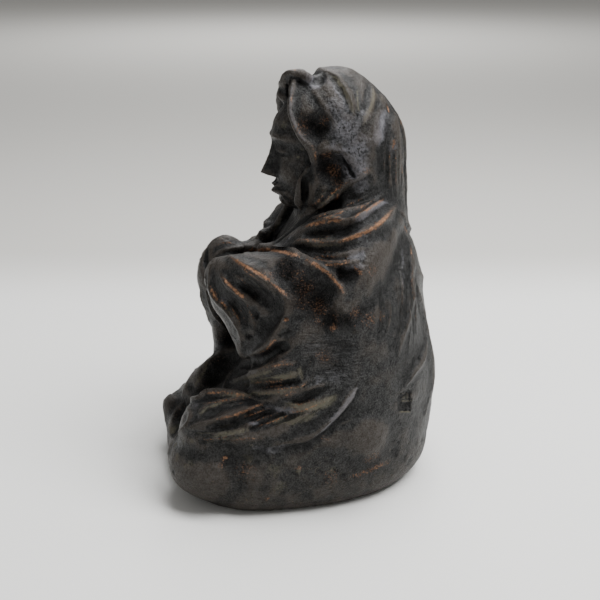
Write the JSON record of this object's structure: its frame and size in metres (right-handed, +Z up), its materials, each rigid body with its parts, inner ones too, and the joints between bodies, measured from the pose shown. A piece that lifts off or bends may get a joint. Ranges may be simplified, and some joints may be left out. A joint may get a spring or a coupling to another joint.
{
  "type": "bodhidharma statue",
  "caption": "Small seated figure of a hooded monk wrapped in a robe, with covered hands and crossed legs; a free-standing ornament with a flat underside.",
  "frame": {"origin": "the middle of the figure's box, on the plane it stands on", "axes": "+Z is up; the figure faces -Y; its left side is +X"},
  "size_m": [0.161, 0.1638, 0.23],
  "materials": {
    "dark_glaze": "satin, near-black, worn to copper brown on the edges"
  },
  "bodies": {
    "root": {"bodhidharma_statue": "dark_glaze"}
  },
  "joints": []
}
